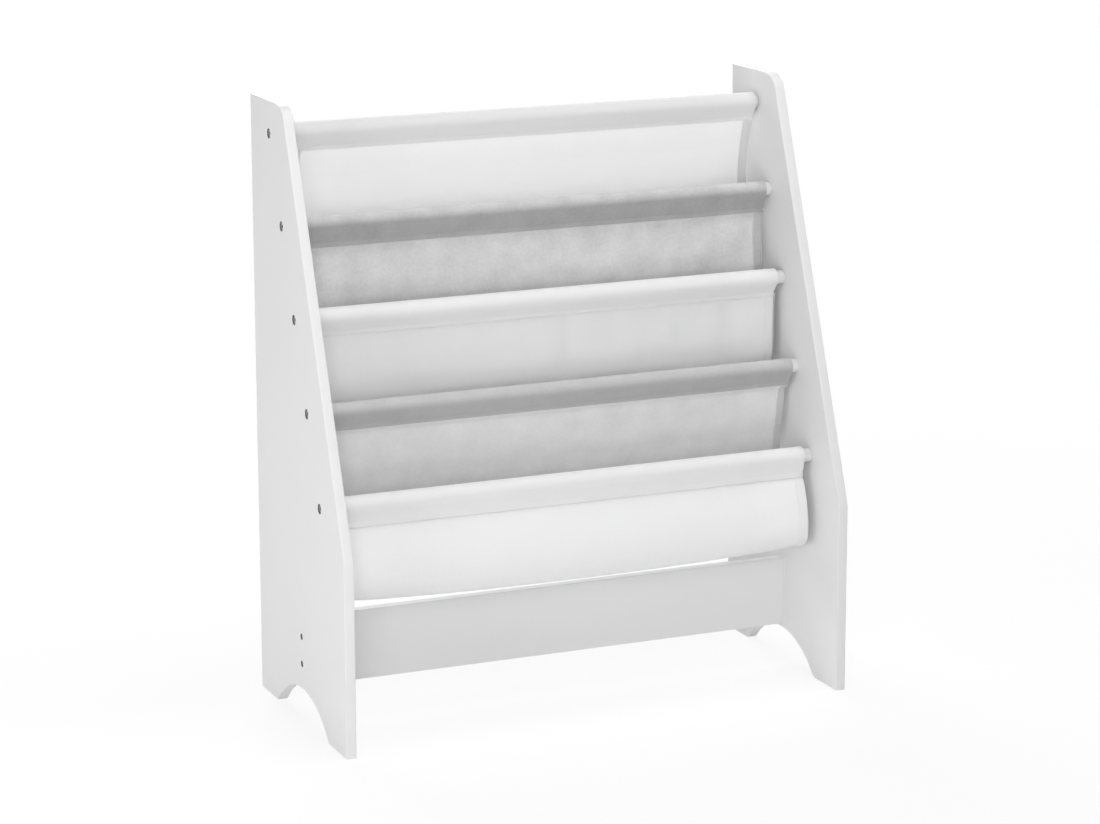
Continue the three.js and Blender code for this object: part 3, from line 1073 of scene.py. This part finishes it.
# %% [markdown]
# ## Where the cloth lies double, and painted shade
# A hem or a flap is two layers of canvas. It lets less light through, and its base colour is painted
# darker than one layer, the grey far more than the white: painted shade. A sleeve is painted lightest along
# its top, where the light falls, and reaches its full tone further down: painted shade as well. That is
# one number for each corner of the grid, kept as an attribute, which the canvas reads.

# %% Shares of the second layer and of painted shade
# How far the hems and the tops of the sleeves are painted towards the darker tone: painted shade.
hem_painted_shade = {"white": 0.1, "grey": 0.57}
sleeve_top_painted_shade = (0.0, 0.36, 0.0, 0.68, 0.0)
sleeve_shade_share = {"white": 1.0, "grey": 0.65}


def double_layer_shade_at(strip, x, along):
    """How nearly the cloth is backed by a second layer, and how much painted shade it takes at its hems,
    flap and sleeve.
    """
    hem = hem_painted_shade[strip.colour] if abs(x) > strip.width / 2 - hem_width else 0.0
    if along > strip.hang_start:
        return hem
    # Painted shade: down the sleeve the tone darkens from its top to its full tone.
    shade_drop = 2 * rail_radius * sleeve_shade_share[strip.colour]
    below = min(max((rail_radius - strip.point(along).y) / shade_drop, 0.0), 1.0)
    at_top = sleeve_top_painted_shade[strip.number]
    return max(hem, at_top + (1 - at_top) * below)


# The grey hem's share of painted shade.
print("the hem of the grey cloth shows", hem_painted_shade["grey"], "of its second layer")

# %% [markdown]
# ## Laying the canvas
# Now every corner of the grid is laid along the strip's line. Its flat coordinates are kept as a UV map
# in metres for the weave, and a Solidify modifier gives the sheet its thickness.

# %% Lay the five canvases
# The fourth sling takes the lighter grey canvas, which is painted light.
sling_canvases = ("thin_white_canvas", "grey_canvas", "white_canvas", "grey_canvas_painted_light", "white_canvas")


def canvas_mesh(strip, columns, rows):
    bm = bmesh.new()
    bmesh.ops.create_grid(bm, x_segments=len(columns) - 1, y_segments=len(rows) - 1, size=1)
    bm.verts.index_update()
    flat_map = bm.loops.layers.uv.new("flat")
    # The mask of double layers and painted shade, read by the canvas.
    double_layer_shade = bm.verts.layers.float.new("double_layer_shade")
    for index, corner in enumerate(bm.verts):
        row, column = divmod(index, len(columns))
        flat, x, level = columns[column]
        corner.co = settled(strip, x, rows[row], level)
        corner[double_layer_shade] = double_layer_shade_at(strip, x, rows[row])
    for face in bm.faces:
        face.smooth = True
        for loop in face.loops:
            row, column = divmod(loop.vert.index, len(columns))
            loop[flat_map].uv = (columns[column][0], rows[row])
    inner = strip.width / 2 - hem_width
    corner_cut = [face for face in bm.faces
                  if max(rows[corner.index // len(columns)] for corner in face.verts) < strip.fold_end + nip
                  and max(abs(columns[corner.index % len(columns)][1]) for corner in face.verts) > inner]
    bmesh.ops.delete(bm, geom=corner_cut, context="FACES")
    return bm


slings = []
for strip in strips:
    columns = columns_of(strip)
    bm = canvas_mesh(strip, columns, rows_of(strip))
    sling = new_object(strip.node + "_canvas", bm, canvases[sling_canvases[strip.number]])
    thick = sling.modifiers.new("thickness", "SOLIDIFY")
    thick.thickness = cloth
    thick.offset = 0
    stand_in(sling, strip.node)
    slings.append((sling, columns[-1][0] - columns[0][0]))
    print(sling.name, len(sling.data.polygons), "faces")

# %% [markdown]
# ## Stitches
# A seam is a row of short threads that lie on the cloth and dip into it at both ends. One stitch is a
# small ball drawn out along the seam, with few faces, because there are thousands of them. Each is laid
# on the surface at its own place along the strip, so the seams follow every fold. Rows run across the
# flap and the sheet behind it, and down the inner edge of both hems.

# %% One stitch
stitch_length = 0.0026
stitch_pitch = 0.0034
thread_radius = 0.00014

ball = bmesh.new()
bmesh.ops.create_uvsphere(ball, u_segments=6, v_segments=4, radius=1)
for face in ball.faces:
    face.smooth = True
ball_mesh = bpy.data.meshes.new("stitch")
ball.to_mesh(ball_mesh)
ball.free()


def add_stitch(bm, start, end, outward):
    """Draws a copy of the ball out between two points of a seam and adds it to the thread."""
    along = end - start
    turn_to = Matrix((along.normalized(), outward.cross(along).normalized(), outward)).transposed()
    size = Matrix.Diagonal((along.length / 2, thread_radius, thread_radius, 1))
    stitch = ball_mesh.copy()
    stitch.transform(Matrix.Translation((start + end) / 2) @ turn_to.to_4x4() @ size)
    bm.from_mesh(stitch)
    bpy.data.meshes.remove(stitch)


print("a stitch has", len(ball_mesh.polygons), "faces")

# %% [markdown]
# The seams under a rail run across the cloth, on the outer face of the flap and of the hanging sheet.
# Those of a hem run down its inner edge, where they show on both faces.

# %% Sew the seams
inner_side = 1
outer_side = -1
seam_inset = 0.0006
hem_stitch_inset = 0.0016
hem_seam_drop = 0.006


def seam(bm, strip, places, run, level, side):
    """Stitches on one side of a layer: each starts at a place and runs so far across and along."""
    for x, along in places:
        direction = strip.inward(along + run[1] / 2)
        outward = side * Vector((0, direction.x, direction.y))
        start = settled(strip, x, along, level) + cloth / 2 * outward
        end = settled(strip, x + run[0], along + run[1], level) + cloth / 2 * outward
        add_stitch(bm, start, end, outward)


def sew(strip):
    bm = bmesh.new()
    half = strip.width / 2 - hem_stitch_inset
    for along in (strip.stitch - seam_inset, strip.hang_start + seam_inset):
        places = [(x, along) for x in steps_between(-half, half, stitch_pitch)]
        seam(bm, strip, places, (stitch_length, 0), 0.0, outer_side)
    hem_seam = strip.width / 2 - hem_width + hem_stitch_inset
    final = strip.length - stitch_length
    for x in (-hem_seam, hem_seam):
        for first, level, side in ((strip.hang_start + hem_seam_drop, layer, inner_side),
                                   (strip.fold_end, 0.0, outer_side)):
            places = [(x, along) for along in steps_between(first, final, stitch_pitch)]
            seam(bm, strip, places, (0, stitch_length), level, side)
    return new_object(f"sling_{strip.number + 1}_thread", bm, threads[strip.colour])


for strip, (sling, flat_width) in zip(strips, slings):
    thread = sew(strip)
    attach(thread, "root")
    print(thread.name, len(thread.data.polygons), "faces")

# %% [markdown]
# ## Measure and finish
# The dressed shelf must be the size of the loaded one, so both boxes are written down to be compared.

# %% Compare the sizes and finish
shown_low, shown_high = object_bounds()
past = [max(a - b, d - c) for a, b, c, d in zip(cad_low, shown_low, cad_high, shown_high)]
print("past the loaded box by", [round(reach, 5) for reach in past])
